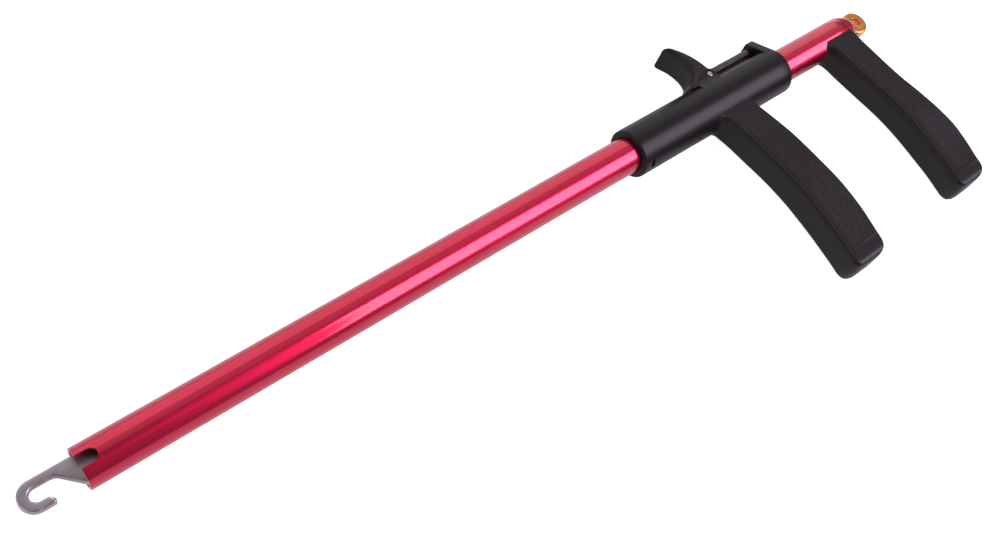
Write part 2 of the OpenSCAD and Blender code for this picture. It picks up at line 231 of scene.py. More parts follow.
# %% Helpers: finishing a piece
def finish_piece(name, bm, material, body, replaced, crease=38):
    """Brings a mesh to metres, shades it, and lets it ride on its CAD body."""
    bmesh.ops.scale(bm, vec=(MM, MM, MM), verts=bm.verts)
    mesh = bpy.data.meshes.new(name)
    bm.to_mesh(mesh)
    bm.free()
    for face in mesh.polygons:
        face.use_smooth = True
    mesh.set_sharp_from_angle(angle=radians(crease))
    mesh.materials.append(material)
    thing = bpy.data.objects.new(name, mesh)
    scene.collection.objects.link(thing)
    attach(thing, body)
    if replaced:
        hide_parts(*replaced)
    print(f"{name}: {len(mesh.polygons)} faces on {body}")
    return thing


# %% [markdown]
# ## Camera
#
# The camera stands above the mouth end and looks down the tool, rolled so that the tube rises
# from the lower left to the upper right.

# %% Camera
camera_data = bpy.data.cameras.new("camera")
camera_data.sensor_width = 36
camera_data.lens = 41.565
camera_data.clip_start = 0.01
camera_data.clip_end = 20
camera = bpy.data.objects.new("camera", camera_data)
camera.location = (-0.03224, -0.10419, 0.31370)
aim = Vector((0.13820, -0.01135, 0))
roll = radians(26.624)
facing = (aim - camera.location).to_track_quat("-Z", "Y").to_matrix()
camera.rotation_euler = (facing @ Matrix.Rotation(roll, 3, "Z")).to_euler()
scene.collection.objects.link(camera)
scene.camera = camera
print("camera looks at", tuple(aim))

# %% [markdown]
# ## Floor and light
#
# A large pale floor touches the lowest point of the tool. One wide softbox above the grip side
# draws the long pink band on the tube. Dimmer ones fill the lever side and the top, a card at the
# mouth lights the hook's bend. Floor and surround look pale to the camera and give the tool much
# less light, which keeps the dark bands between the softboxes.

# %% A glow for the camera
pale = 0.94


def camera_glow(tree, strength, as_light):
    """Lets a strength be pale where the camera looks and lower as a source of light."""
    seen = tree.nodes.new("ShaderNodeLightPath")
    glow = tree.nodes.new("ShaderNodeMath")
    glow.operation = "MULTIPLY_ADD"
    glow.inputs[1].default_value = pale - as_light
    glow.inputs[2].default_value = as_light
    tree.links.new(seen.outputs["Is Camera Ray"], glow.inputs[0])
    tree.links.new(glow.outputs[0], strength)


# %% Floor
floor_z = cad_box[0][2]
floor_mesh = bpy.data.meshes.new("floor")
bm = bmesh.new()
bmesh.ops.create_grid(bm, x_segments=1, y_segments=1, size=3)
bm.to_mesh(floor_mesh)
bm.free()
floor = bpy.data.objects.new("floor", floor_mesh)
floor.location = (0.15, 0, floor_z)
scene.collection.objects.link(floor)

floor_paint = bpy.data.materials.new("pale floor")
floor_paint.use_nodes = True
shader = floor_paint.node_tree.nodes["Principled BSDF"]
shader.inputs["Base Color"].default_value = (0.62, 0.62, 0.62, 1)
shader.inputs["Roughness"].default_value = 0.9
shader.inputs["Specular IOR Level"].default_value = 0.1
shader.inputs["Emission Color"].default_value = (1, 1, 1, 1)
camera_glow(floor_paint.node_tree, shader.inputs["Emission Strength"], 0.24)
floor_mesh.materials.append(floor_paint)
print("floor at", round(floor_z, 4))


# %% Softboxes and surround
def softbox(name, target, away, distance, size, radiance, colour=(1, 1, 1)):
    """A rectangular light that faces its target from a direction."""
    light = bpy.data.lights.new(name, "AREA")
    light.shape = "RECTANGLE"
    light.size, light.size_y = size
    light.energy = radiance * pi * size[0] * size[1]
    light.color = colour
    lamp = bpy.data.objects.new(name, light)
    away = Vector(away).normalized()
    lamp.location = Vector(target) + away * distance
    lamp.rotation_euler = (-away).to_track_quat("-Z", "Y").to_euler()
    scene.collection.objects.link(lamp)
    print(name, "at", tuple(round(c, 2) for c in lamp.location))


softbox("key", (1.12, 0, 0), (0, -0.63, 0.78), 1.15, (1.24, 1.09), 4.6, (1.0, 0.92, 1.12))
softbox("fill", (0.9, 0, 0), (0, 0.87, 0.5), 1.5, (3.0, 1.4), 0.8)
softbox("overhead", (1.2, 0, 0), (0, 0.375, 0.927), 1.3, (2.8, 0.9), 0.36)
softbox("front card", (0, 0, 0), (-0.86, 0.2, 0.46), 1.0, (1.2, 1.2), 0.66)

surround = bpy.data.worlds.new("surround")
surround.use_nodes = True
sky = surround.node_tree.nodes["Background"]
sky.inputs["Color"].default_value = (1, 1, 1, 1)
camera_glow(surround.node_tree, sky.inputs["Strength"], 0.16)
scene.world = surround
scene.view_settings.view_transform = "Standard"

# %% [markdown]
# ## Shared surface effects
#
# Real surfaces are never one flat value. Four effects are shared by the finishes, each as a
# node group: a fine grain, lines drawn along the tube's axis, worn edges, which on the blade also
# carry a painted highlight, and specks of dust.
# They read Object coordinates in metres, so their scale is the real scale of the tool.

# %% A small kit for node groups
def new_group(name, inputs, outputs):
    """An empty node group with named inputs and outputs."""
    group = bpy.data.node_groups.new(name, "ShaderNodeTree")
    for label, value in inputs.items():
        socket = group.interface.new_socket(label, in_out="INPUT", socket_type="NodeSocketFloat")
        socket.default_value = value
    for label in outputs:
        group.interface.new_socket(label, in_out="OUTPUT", socket_type="NodeSocketFloat")
    entry = group.nodes.new("NodeGroupInput")
    leave = group.nodes.new("NodeGroupOutput")
    return group, entry, leave


def add(tree, kind, **settings):
    """A new node with some of its settings given."""
    node = tree.nodes.new(kind)
    for label, value in settings.items():
        setattr(node, label, value)
    return node


def math_node(tree, operation, first, second=None, clamp=False):
    """A Math node, whose inputs are sockets or numbers."""
    node = add(tree, "ShaderNodeMath", operation=operation, use_clamp=clamp)
    for slot_number, value in enumerate((first, second)):
        if value is None:
            continue
        if isinstance(value, (int, float)):
            node.inputs[slot_number].default_value = value
        else:
            tree.links.new(value, node.inputs[slot_number])
    return node.outputs[0]


# %% Fine grain
def make_grain():
    group, entry, leave = new_group("fine grain", {"Scale": 2500, "Detail": 3}, ["Grain"])
    place = add(group, "ShaderNodeTexCoord")
    noise = add(group, "ShaderNodeTexNoise")
    group.links.new(place.outputs["Object"], noise.inputs["Vector"])
    group.links.new(entry.outputs["Scale"], noise.inputs["Scale"])
    group.links.new(entry.outputs["Detail"], noise.inputs["Detail"])
    group.links.new(noise.outputs["Fac"], leave.inputs["Grain"])
    return group


# %% Lines drawn along the axis
def make_drawn_lines():
    group, entry, leave = new_group(
        "drawn lines", {"Across": 2200, "Along": 25}, ["Lines", "Cloud"]
    )
    place = add(group, "ShaderNodeTexCoord")
    split = add(group, "ShaderNodeSeparateXYZ")
    group.links.new(place.outputs["Object"], split.inputs[0])
    along = math_node(group, "MULTIPLY", split.outputs["X"], entry.outputs["Along"])
    side = math_node(group, "MULTIPLY", split.outputs["Y"], entry.outputs["Across"])
    depth = math_node(group, "MULTIPLY", split.outputs["Z"], entry.outputs["Across"])
    stretched = add(group, "ShaderNodeCombineXYZ")
    for label, value in zip("XYZ", (along, side, depth)):
        group.links.new(value, stretched.inputs[label])
    noise = add(group, "ShaderNodeTexNoise")
    noise.inputs["Scale"].default_value = 1
    noise.inputs["Detail"].default_value = 4
    group.links.new(stretched.outputs[0], noise.inputs["Vector"])
    cloud = add(group, "ShaderNodeTexNoise")
    cloud.inputs["Scale"].default_value = 60
    group.links.new(place.outputs["Object"], cloud.inputs["Vector"])
    group.links.new(noise.outputs["Fac"], leave.inputs["Lines"])
    group.links.new(cloud.outputs["Fac"], leave.inputs["Cloud"])
    return group


# %% Worn edges
def make_edge_wear():
    group, entry, leave = new_group("edge wear", {"Start": 0.52, "End": 0.6}, ["Wear"])
    shape = add(group, "ShaderNodeNewGeometry")
    ramp = add(group, "ShaderNodeMapRange", clamp=True)
    group.links.new(shape.outputs["Pointiness"], ramp.inputs["Value"])
    group.links.new(entry.outputs["Start"], ramp.inputs["From Min"])
    group.links.new(entry.outputs["End"], ramp.inputs["From Max"])
    place = add(group, "ShaderNodeTexCoord")
    noise = add(group, "ShaderNodeTexNoise")
    noise.inputs["Scale"].default_value = 400
    group.links.new(place.outputs["Object"], noise.inputs["Vector"])
    broken = math_node(group, "MULTIPLY", ramp.outputs["Result"], noise.outputs["Fac"])
    doubled = math_node(group, "MULTIPLY", broken, 1.6, clamp=True)
    group.links.new(doubled, leave.inputs["Wear"])
    return group


# %% Specks of dust
def make_dust():
    group, entry, leave = new_group("dust specks", {"Scale": 700, "Amount": 0.1}, ["Dust"])
    place = add(group, "ShaderNodeTexCoord")
    spots = add(group, "ShaderNodeTexVoronoi")
    group.links.new(place.outputs["Object"], spots.inputs["Vector"])
    group.links.new(entry.outputs["Scale"], spots.inputs["Scale"])
    near = math_node(group, "LESS_THAN", spots.outputs["Distance"], entry.outputs["Amount"])
    patches = add(group, "ShaderNodeTexNoise")
    patches.inputs["Scale"].default_value = 90
    group.links.new(place.outputs["Object"], patches.inputs["Vector"])
    some = math_node(group, "GREATER_THAN", patches.outputs["Fac"], 0.55)
    group.links.new(math_node(group, "MULTIPLY", near, some), leave.inputs["Dust"])
    return group


grain_group = make_grain()
lines_group = make_drawn_lines()
wear_group = make_edge_wear()
dust_group = make_dust()
print("shared effects:", [g.name for g in bpy.data.node_groups])

# %% [markdown]
# ## Finishes
#
# Each finish is a Principled shader with its own numbers, and the shared groups vary its colour,
# roughness and surface height.

# %% A start for each finish
def new_finish(name, colour, metallic, roughness):
    """A material with its Principled shader's plain values set."""
    material = bpy.data.materials.new(name)
    material.use_nodes = True
    tree = material.node_tree
    shader = tree.nodes["Principled BSDF"]
    shader.inputs["Base Color"].default_value = (*colour, 1)
    shader.inputs["Metallic"].default_value = metallic
    shader.inputs["Roughness"].default_value = roughness
    return material, tree, shader


def use_group(tree, group, **values):
    """Places a shared effect in a finish with its own values."""
    node = add(tree, "ShaderNodeGroup", node_tree=group)
    for label, value in values.items():
        node.inputs[label].default_value = value
    return node


def blend_colour(tree, factor, low, high):
    """A colour that runs from low to high with a mask. Either may be a socket."""
    mix = add(tree, "ShaderNodeMix", data_type="RGBA")
    tree.links.new(factor, mix.inputs["Factor"])
    for label, colour in (("A", low), ("B", high)):
        socket = [s for s in mix.inputs if s.name == label and s.type == "RGBA"][0]
        if isinstance(colour, tuple):
            socket.default_value = (*colour, 1)
        else:
            tree.links.new(colour, socket)
    return [s for s in mix.outputs if s.type == "RGBA"][0]


def spread(tree, value, low, high):
    """Maps a value of 0 to 1 onto a narrower range."""
    ramp = add(tree, "ShaderNodeMapRange", clamp=True)
    tree.links.new(value, ramp.inputs["Value"])
    ramp.inputs["From Min"].default_value = 0.3
    ramp.inputs["From Max"].default_value = 0.7
    ramp.inputs["To Min"].default_value = low
    ramp.inputs["To Max"].default_value = high
    return ramp.outputs["Result"]


def raise_surface(tree, shader, height, distance, strength=1.0):
    """Lets a height move the surface's normal."""
    bump = add(tree, "ShaderNodeBump")
    bump.inputs["Strength"].default_value = strength
    bump.inputs["Distance"].default_value = distance
    tree.links.new(height, bump.inputs["Height"])
    tree.links.new(bump.outputs["Normal"], shader.inputs["Normal"])
    return bump


# %% [markdown]
# Anodised aluminium keeps its metal look, but light crosses a thin coloured layer twice. A deep
# red metal under a clear coat gives both: a strong colour, and pale highlights at the edges.

# %% Anodised finishes
def make_anodised(name, deep, bright, roughness, coat_roughness):
    material, tree, shader = new_finish(name, bright, 1.0, roughness)
    lines = use_group(tree, lines_group, Across=1800, Along=18)
    wear = use_group(tree, wear_group, Start=0.53, End=0.62)
    colour = blend_colour(tree, lines.outputs["Cloud"], deep, bright)
    rubbed = tuple(min(1, c * 1.5 + 0.05) for c in bright)
    worn = blend_colour(tree, wear.outputs["Wear"], colour, rubbed)
    tree.links.new(worn, shader.inputs["Base Color"])
    rough = spread(tree, lines.outputs["Lines"], roughness * 0.85, roughness * 1.2)
    tree.links.new(rough, shader.inputs["Roughness"])
    shader.inputs["Coat Weight"].default_value = 1.0
    shader.inputs["Coat Roughness"].default_value = coat_roughness
    shader.inputs["Coat IOR"].default_value = 1.52
    raise_surface(tree, shader, lines.outputs["Lines"], 0.000004)
    return material


anodised_red = make_anodised("anodised red", (0.66, 0.006, 0.040), (0.78, 0.009, 0.078), 0.34, 0.10)
anodised_gold = make_anodised("anodised gold", (0.72, 0.22, 0.03), (0.95, 0.42, 0.10), 0.26, 0.1)
print("anodised finishes ready")

# %% [markdown]
# The moulded parts are black plastic with a fine spark-eroded texture. It is not quite black:
# a little red-grey shows where light strikes it, and handled edges are a touch smoother.

# %% Black plastic
def make_plastic(name, colour, roughness, grain_scale, grain_height, shine):
    material, tree, shader = new_finish(name, colour, 0.0, roughness)
    grain = use_group(tree, grain_group, Scale=grain_scale, Detail=4)
    wear = use_group(tree, wear_group, Start=0.52, End=0.6)
    dust = use_group(tree, dust_group, Scale=420, Amount=0.06)
    darker = tuple(c * 0.75 for c in colour)
    base = blend_colour(tree, grain.outputs["Grain"], darker, colour)
    worn = blend_colour(tree, wear.outputs["Wear"], base, tuple(c * 1.9 for c in colour))
    dusty = blend_colour(tree, dust.outputs["Dust"], worn, (0.16, 0.15, 0.15))
    tree.links.new(dusty, shader.inputs["Base Color"])
    rough = spread(tree, grain.outputs["Grain"], roughness - 0.06, roughness + 0.08)
    smoother = math_node(tree, "MULTIPLY", wear.outputs["Wear"], 0.12)
    tree.links.new(math_node(tree, "SUBTRACT", rough, smoother), shader.inputs["Roughness"])
    shader.inputs["Specular IOR Level"].default_value = shine
    raise_surface(tree, shader, grain.outputs["Grain"], grain_height)
    return material


sleeve_plastic = make_plastic("sleeve plastic", (0.0112, 0.0066, 0.0082), 0.33, 3200, 0.00002, 0.27)
lever_plastic = make_plastic("lever plastic", (0.0285, 0.0205, 0.0240), 0.38, 3200, 0.00002, 0.28)
grip_plastic = make_plastic("grip plastic", (0.0135, 0.0084, 0.0102), 0.38, 2600, 0.00003, 0.36)
print("plastic finishes ready")

# %% [markdown]
# The blade is stainless sheet: ground flat on its faces and tumbled, so that its edges are smooth,
# and their colour is lifted well above the steel's own as a painted highlight. Pins, rods and
# springs are drawn wire or bar, and the bushes and blocks inside are nylon and brass.

# %% Metals and nylon
def make_metal(name, dull, bright, roughness, across, along, edge_polish=0.12, polish_and_highlight_gain=1.35):
    material, tree, shader = new_finish(name, bright, 1.0, roughness)
    lines = use_group(tree, lines_group, Across=across, Along=along)
    wear = use_group(tree, wear_group, Start=0.51, End=0.58)
    colour = blend_colour(tree, lines.outputs["Lines"], dull, bright)
    # Convex edges get a lower roughness, which is polish, and a lighter colour, which is partly a
    # painted highlight; the lighter colour is strongest on the blade.
    polish_and_highlight_colour = tuple(min(1, c * polish_and_highlight_gain) for c in bright)
    polished_and_highlighted = blend_colour(tree, wear.outputs["Wear"], colour, polish_and_highlight_colour)
    tree.links.new(polished_and_highlighted, shader.inputs["Base Color"])
    rough = spread(tree, lines.outputs["Lines"], roughness * 0.8, roughness * 1.25)
    smoother = math_node(tree, "MULTIPLY", wear.outputs["Wear"], edge_polish)
    tree.links.new(math_node(tree, "SUBTRACT", rough, smoother, clamp=True), shader.inputs["Roughness"])
    raise_surface(tree, shader, lines.outputs["Lines"], 0.000005)
    return material


# The blade's edge gain of 2.3 paints a bright highlight on its rounded edges and the hook's bend.
blade_steel = make_metal(
    "ground steel", (0.33, 0.27, 0.30), (0.46, 0.385, 0.425), 0.42, 900, 260,
    edge_polish=0.24, polish_and_highlight_gain=2.3,
)
bright_steel = make_metal("bright steel", (0.46, 0.44, 0.46), (0.60, 0.58, 0.60), 0.25, 1500, 60)
spring_wire = make_metal("spring wire", (0.36, 0.36, 0.38), (0.52, 0.52, 0.54), 0.24, 1500, 1500)
dark_wire = make_metal("dark wire", (0.080, 0.067, 0.074), (0.135, 0.113, 0.125), 0.55, 900, 260)
turned_brass = make_metal("turned brass", (0.52, 0.36, 0.12), (0.72, 0.54, 0.22), 0.26, 200, 2200)
nylon = make_plastic("natural nylon", (0.72, 0.70, 0.64), 0.5, 1800, 0.00001, 0.5)
print("metal finishes ready")

# %% [markdown]
# ## Barrel tube
#
# The barrel is a drawn tube, so it is spun from a thin rectangle. Round-ended notches in its
# mouth, the slots for the cross key and the rear grip's tongue, and the small pin holes are cut
# afterwards. Extra rings near each cut keep the long faces between them smooth.

# %% Barrel tube
tube_steps = 160
notch_w = 4.2
notch_end = 5.6
half_travel = 9
key_low, key_high = box_mm("drive_key")
key_x = (key_low.x + key_high.x) / 2
key_angle = radians(71)
key_gap = 0.3
slot_half = Vector(((key_high.x - key_low.x) / 2 + half_travel + key_gap, 2.0, 12))
stop_low, stop_high = box_mm("stop_pins")
stop_pin_x = (stop_low.x + stop_high.x) / 2
stop_pin_y = 3.6
stop_pin_r = 0.8
shank_lead = 2
tongue_x = box_mm("tail_plug")[0].x + shank_lead
tongue_len = 6.5
tongue_half = 3
tongue_gap = 0.1
spigot_x = tongue_x + tongue_len + 0.8
plug_pin_low, plug_pin_high = box_mm("plug_pin")
plug_pin_x = (plug_pin_low.x + plug_pin_high.x) / 2
plug_pin_r = 1.0


def stadium(start, end, width, low, high, segments=48):
    """A slot cutter with round ends, along X and through Z."""
    half = width / 2
    left = arc((start, 0), half, 90, 270, segments // 2)
    right = arc((end, 0), half, -90, 90, segments // 2)
    return plate(left + right, low, high)


def at_key_angle(cutter):
    """Turns a cutter round the tube's axis to the angle of the cross key."""
    turn = Matrix.Rotation(key_angle, 3, "X")
    bmesh.ops.rotate(cutter, cent=(0, 0, 0), matrix=turn, verts=cutter.verts)
    return cutter


def make_barrel_tube():
    profile = [(0, bore_r, 0), (0, tube_r, 0), (tube_end, tube_r, 0), (tube_end, bore_r, 0)]
    bm = turned(profile, steps=tube_steps)
    soften(bm, 0.16, 2)
    near_mouth = [0.6 + 0.7 * i for i in range(10)]
    near_slot = [key_x - 4, key_x + 22]
    near_tail = [stop_low.x - 2, stop_high.x + 2, tongue_x - 3, tongue_x + 9]
    middle = [40 + 30 * i for i in range(5)]
    slices(bm, near_mouth + middle + near_slot + near_tail)
    bm = combine(bm, stadium(-4, notch_end - notch_w / 2, notch_w, -10, 10))
    key_cut = block(-slot_half, slot_half)
    bmesh.ops.translate(key_cut, vec=(key_x + half_travel, 0, 0), verts=key_cut.verts)
    bm = combine(bm, at_key_angle(key_cut))
    for y in (-stop_pin_y, stop_pin_y):
        bm = combine(bm, rod(stop_pin_r, (stop_pin_x, y, -10), (stop_pin_x, y, 10), 24))
    side = tongue_half + tongue_gap
    tongue_low = (tongue_x - tongue_gap, -tube_r - 1, -side)
    tongue_high = (tongue_x + tongue_len + tongue_gap, -bore_r + 0.6, side)
    bm = combine(bm, block(tongue_low, tongue_high))
    return combine(bm, rod(plug_pin_r, (plug_pin_x, -tube_r - 1, 0), (plug_pin_x, -4, 0), 24))


finish_piece(
    "barrel", make_barrel_tube(), anodised_red, "barrel", ["barrel_tube"], crease=30
)

# %% [markdown]
# ## Tail plug and lanyard ring
#
# The tube's rear end is closed by a domed plug in the same red. A gold ring with a cross hole is
# screwed into it and sits in a shallow slot in the dome.

# %% Tail plug
ring_high = box_mm("lanyard_eyelet")[1]
ring_r = ring_high.y
ring_x = ring_high.x - ring_r
ring_half = ring_high.z
ring_hole = 2.1
stud_r = 1.45
shank_r = 1.6
dome_inset = 1
dome_len = 9
dome_start = 1.15
dome_power = 0.9


def make_tail_plug():
    core = bore_r - 0.03
    start = tongue_x - shank_lead
    inside = [(start, 0), (start, shank_r), (spigot_x, shank_r), (spigot_x, core), (tube_end, core)]
    middle = tube_end - dome_inset
    quarter = arc((0, 0), 1, degrees(acos(dome_start / dome_len)), 0, 26)
    dome = [(middle + x ** dome_power * dome_len, r ** dome_power * tube_r) for x, r in quarter]
    dome[-1] = (dome[-1][0], 0)
    profile = [(x, r, 0) for x, r in inside + dome]
    bm = turned(profile, steps=128, closed=False)
    pocket = rod(ring_r, (ring_x, 0, -ring_half), (ring_x, 0, ring_half), 96)
    bm = combine(bm, pocket)
    return soften(bm, 0.12, 2, 50, lambda e: e.verts[0].co.x > tube_end + 1)


finish_piece("tail_dome", make_tail_plug(), anodised_red, "barrel", ["tail_plug"])


# %% Lanyard ring
def make_ring():
    low, high = ring_x + ring_hole, ring_x + ring_r
    profile = [
        (low, 0, -ring_half), (high, 0, -ring_half), (high, 0, ring_half), (low, 0, ring_half)
    ]
    bm = turned(profile, axis_point=(ring_x, 0, 0), axis=(0, 0, 1), steps=96)

    def on_rim(edge):
        place = edge.verts[0].co
        return (place - Vector((ring_x, 0, place.z))).length > ring_r - 0.1

    soften(bm, 0.9, 5, 40, on_rim)
    soften(bm, 0.2, 2, 60)
    stud = rod(stud_r, (spigot_x + 1, 0, 0), (ring_x - ring_hole - 0.9, 0, 0), 48)
    return joined(bm, stud)


finish_piece("lanyard_ring", make_ring(), anodised_gold, "barrel", ["lanyard_eyelet"])

# %% [markdown]
# ## Hook blade
#
# The blade is cut from sheet, and its band changes width all the way along. A ladder suits it:
# one edge runs from the tail to the point, each new rung is extruded from the last one, and its
# two ends are placed on the blade's outer and inner outline. The flat strip is then thickened
# and its edges are rounded, as tumbling does.

# %% Hook blade
hook_low, hook_high = box_mm("hook_blade")
blade_half_t = hook_high.z
blade_top = hook_high.y
blade_bottom = hook_low.y
bend_r = (blade_top - blade_bottom) / 2
bend_c = (hook_low.x + bend_r, blade_top - bend_r)
leg_w = 2.5
throat_r = bend_r - leg_w
throat_c = (bend_c[0] + 0.6, bend_c[1])
point_x = -8.6
point_r = 1.8
bend_rungs = 28
edge_r = 0.58


def blade_rungs():
    """Outer and inner ends of each rung, from the tail to the point."""
    tail_half = 3.6
    tail = [((41, tail_half), (41, -tail_half)), ((26, tail_half), (26, -tail_half))]
    shoulder = [((24, blade_top), (24, blade_bottom)), ((1.6, blade_top), (0.9, blade_bottom))]
    heel = [((0.2, blade_top), (0.1, -4.75)), ((-0.9, blade_top), (-0.7, -4.0))]
    slope = [((-0.9 - 5.4 * s, blade_top), (-0.7 - 4.9 * s, -4.0 + 5.2 * s)) for s in (0.33, 0.66, 1)]
    inner_top = throat_c[1] + throat_r
    shank = [((-7.0, blade_top), (-6.4, inner_top - 0.18)), ((-8.2, blade_top), (-7.6, inner_top))]
    outer = arc(bend_c, bend_r, 90, 270, bend_rungs)
    inner = arc(throat_c, throat_r, 90, 270, bend_rungs)
    bend = list(zip(outer, inner))
    leg_end = [((point_x - point_r, blade_bottom), (point_x - point_r, throat_c[1] - throat_r))]
    return tail + shoulder + heel + slope + shank + bend + leg_end


def make_blade():
    bm = bmesh.new()
    rungs = blade_rungs()
    last = [bm.verts.new((*end, -blade_half_t)) for end in rungs[0]]
    rung = bm.edges.new(last)
    for ends in rungs[1:]:
        grown = bmesh.ops.extrude_edge_only(bm, edges=[rung])["geom"]
        fresh = [g for g in grown if isinstance(g, bmesh.types.BMVert)]
        if (fresh[0].co - last[0].co).length > 1e-6:
            fresh.reverse()
        rung = bm.edges.get(fresh)
        for vert, place in zip(fresh, ends):
            vert.co = (*place, -blade_half_t)
        last = fresh
    tip_y = throat_c[1] - throat_r - point_r
    corner_r = tip_y - blade_bottom
    tip = arc((point_x - point_r, tip_y), point_r, 80, 0, 8)
    tip += arc((point_x - corner_r, tip_y), corner_r, -15, -90, 6)
    bm.faces.new([last[0], last[1]] + [bm.verts.new((*place, -blade_half_t)) for place in tip])
    grown = bmesh.ops.extrude_face_region(bm, geom=bm.faces[:], use_keep_orig=True)
    moved = [g for g in grown["geom"] if isinstance(g, bmesh.types.BMVert)]
    bmesh.ops.translate(bm, vec=(0, 0, 2 * blade_half_t), verts=moved)
    bmesh.ops.recalc_face_normals(bm, faces=bm.faces)
    return soften(bm, edge_r, 4, 40, lambda e: abs(e.verts[0].co.z - e.verts[1].co.z) < 1e-6)


finish_piece("hook_blade_visual", make_blade(), blade_steel, "slider", ["hook_blade"])

# %% [markdown]
# ## Wrapped sections
#
# The grips and the thumb lever change their section all along their height. Each is a grid that
# is wrapped round a stack of rounded sections and closed at both ends, so every edge radius can
# be set where it is wanted.

# %% Helpers: wrapped sections
def wrapped(rings):
    """A grid wrapped round a stack of rings, closed at both ends."""
    around, along = len(rings[0]), len(rings) - 1
    bm = bmesh.new()
    bmesh.ops.create_grid(bm, x_segments=around, y_segments=along, size=0.5)
    for vert in bm.verts:
        i = round((vert.co.x + 0.5) * around)
        j = round((vert.co.y + 0.5) * along)
        vert.co = rings[j][i % around]
    bmesh.ops.remove_doubles(bm, verts=bm.verts, dist=1e-5)
    bmesh.ops.holes_fill(bm, edges=bm.edges, sides=0)
    bmesh.ops.recalc_face_normals(bm, faces=bm.faces)
    return bm


def whole_ring(half_section, y):
    """A ring of points at a height, from half of its section and the mirror of it."""
    loop = half_section + [(x, -z) for x, z in reversed(half_section[1:-1])]
    return [Vector((x, y, z)) for x, z in loop]


def through(points, y):
    """A smooth curve through (height, value) points listed from the top down."""
    places, values = zip(*points)
    k = 0
    while k < len(points) - 2 and y < places[k + 1]:
        k += 1

    def slope(i):
        a, b = max(i - 1, 0), min(i + 1, len(points) - 1)
        return (values[b] - values[a]) / (places[b] - places[a])

    span = places[k + 1] - places[k]
    t = (y - places[k]) / span
    start = (2 * t ** 3 - 3 * t ** 2 + 1) * values[k] + (t ** 3 - 2 * t ** 2 + t) * span * slope(k)
    end = (3 * t ** 2 - 2 * t ** 3) * values[k + 1] + (t ** 3 - t ** 2) * span * slope(k + 1)
    return start + end


def rounding(radius, reach):
    """How far a corner of a radius has drawn in at a reach past the corner's start."""
    reach = min(max(reach, 0), radius)
    return radius - sqrt(radius ** 2 - reach ** 2)


def step(value, low, high):
    """A smooth step from 0 to 1."""
    t = min(max((value - low) / (high - low), 0), 1)
    return t * t * (3 - 2 * t)


# %% [markdown]
# ## Grips
#
# Both grips are moulded. The face for the fingers is slightly crowned and runs into a rounded
# bead along the side. Behind the bead the side is a shallow recessed panel with a patch of
# diamond knurling, as cut into the mould with an angled tool. The tip is rounded on every side.
# The sections are closest together where the knurling is, so that each small pyramid has its
# own point.

# %% Grip shape
grip_low, grip_high = box_mm("front_grip")
grip_half = grip_high.z
grip_tip = grip_low.y
grip_pitch = 62.8
front_waist = sleeve_low.x + 43.5
rear_waist = front_waist + grip_pitch
rear_tip = grip_tip + 1.4
bead_r = 1.9
heel_edge_r = 1.2
panel_depth = 0.75
knurl_step = 0.1945
knurl_height = 0.3
knurl_columns = 66
knurl_pitch = 8
knurl_start = -37.5
knurl_length = 36
patch_top = -38.5
patch_foot = 6.5
toe_r = 5.0
toe_back_r = 4.5
toe_side_r = 2.2
crown = 0.35
score_places = [-26, -36, -47, -57.5, -67.5]
score_depth = 0.15
score_half = 0.28
root_rings = 8
root_flare = 2.4


def knurl(column, row):
    """Height of the diamond pyramids, 0 to 1, on a grid of columns and rows."""
    a = (column + row) / knurl_pitch % 1
    b = (column - row) / knurl_pitch % 1
    return 1 - 2 * max(abs(a - 0.5), abs(b - 0.5))


def patch(across, y):
    """1 inside the knurled patch, falling to 0 at its rounded border."""
    top = patch_top - 7 * max(0, (0.8 - across) / 0.6) ** 2
    bottom = grip_tip + patch_foot
    sides = step(across, 0.06, 0.14)
    return sides * step(top - y, -0.6, 0.6) * step(y - bottom, -0.6, 0.6)


def grip_half_section(y, tip, front, back, half, row):
    """Half of a grip's section, as (x, z) from the front's middle to the back's middle."""
    depth = panel_depth * step(-y, 10, 24) * step(y - tip, 3.0, 8)
    corner = min(bead_r, half * 0.6)
    heel = min(heel_edge_r, half * 0.6)
    flush = half - 0.12 * depth
    score = max(0, 1 - min(abs(y - place) for place in score_places) / score_half)
    sunk = front + score_depth * score
    face = [(sunk - crown * (1 - (k / 6) ** 2), (half - corner) * k / 6) for k in range(6)]
    bead = arc((front + corner, half - corner), corner, 180, 90, 6)
    lip = [(front + u, half - depth * step(u, 2.1, 3.5)) for u in (2.15, 2.5, 2.8, 3.1, 3.5)]
    start, end = front + 3.7, back - heel
    side = []
    for k in range(knurl_columns + 1):
        across = k / knurl_columns
        relief = 0
        if row is not None:
            relief = knurl_height * knurl(k, row) * patch(across, y)
        dip = depth * (1 - 0.88 * across ** 1.6)
        side.append((start + (end - start) * across, half - dip + relief))
    rear = arc((end, flush - heel), heel, 80, 0, 6)
    spine = [(back, (flush - heel) * (1 - k / 4)) for k in range(1, 5)]
    return face + bead + lip + side + rear + spine


def grip_stations(tip):
    """Heights of the sections, each with its knurl row or None."""
    rows = [(knurl_start - knurl_step * r, r) for r in range(int(knurl_length / knurl_step) + 1)]
    upper = [-10 - 1.25 * i for i in range(22)]
    upper += [place + d for place in score_places[:2] for d in (-0.3, -0.15, 0, 0.15, 0.3)]
    upper = [(y, None) for y in sorted(set(upper), reverse=True)]
    last = rows[-1][0]
    low = tip + toe_r * 0.62
    lower = [(last + (low - last) * i / 4, None) for i in range(1, 5)]
    end = [(tip + (low - tip) * (1 - sin(radians(90 * i / 12))), None) for i in range(1, 13)]
    return upper + rows + lower + end


